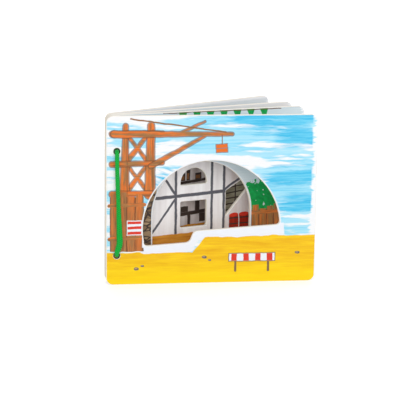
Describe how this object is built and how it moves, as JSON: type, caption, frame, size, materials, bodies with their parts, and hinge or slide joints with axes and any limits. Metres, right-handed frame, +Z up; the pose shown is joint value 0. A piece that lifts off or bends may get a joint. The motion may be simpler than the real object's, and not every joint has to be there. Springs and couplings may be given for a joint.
{
  "type": "wooden activity book",
  "caption": "Picture book of thin wooden boards on a loose cord, with windows cut through its cover and pages, standing open in a fan.",
  "frame": {"origin": "middle of the front cover's bottom edge, on its foot, halfway through its thickness", "axes": "+X along the front cover from its spine edge to its fore edge, +Y from its print side towards the pages, +Z up"},
  "size_m": [0.2104, 0.1305, 0.17],
  "materials": {
    "cover_board": "satin print on a wooden board",
    "arch_board": "satin print on a wooden board",
    "window_board": "satin print on a wooden board",
    "back_board": "satin print on a wooden board",
    "cord": "soft braided cord"
  },
  "bodies": {
    "front_cover": {"front_cover": "cover_board", "binding_cord": "cord"},
    "arch_page": {"arch_page": "arch_board"},
    "window_page": {"window_page": "window_board"},
    "back_cover": {"back_cover": "back_board"}
  },
  "joints": [
    {"name": "arch_page_turn", "type": "hinge", "parent": "front_cover", "child": "arch_page", "pos_m": [-0.106, 0.0102, 0], "axis": [0, 0, 1], "range_deg": [-13.2, 86.8], "deforming": ["binding_cord"]},
    {"name": "window_page_turn", "type": "hinge", "parent": "arch_page", "child": "window_page", "pos_m": [-0.10701, 0.01448, 0], "axis": [0, 0, 1], "range_deg": [-6.9, 93.1], "deforming": ["binding_cord"]},
    {"name": "back_cover_turn", "type": "hinge", "parent": "window_page", "child": "back_cover", "pos_m": [-0.10852, 0.01862, 0], "axis": [0, 0, 1], "range_deg": [-11, 89], "deforming": ["binding_cord"]}
  ]
}
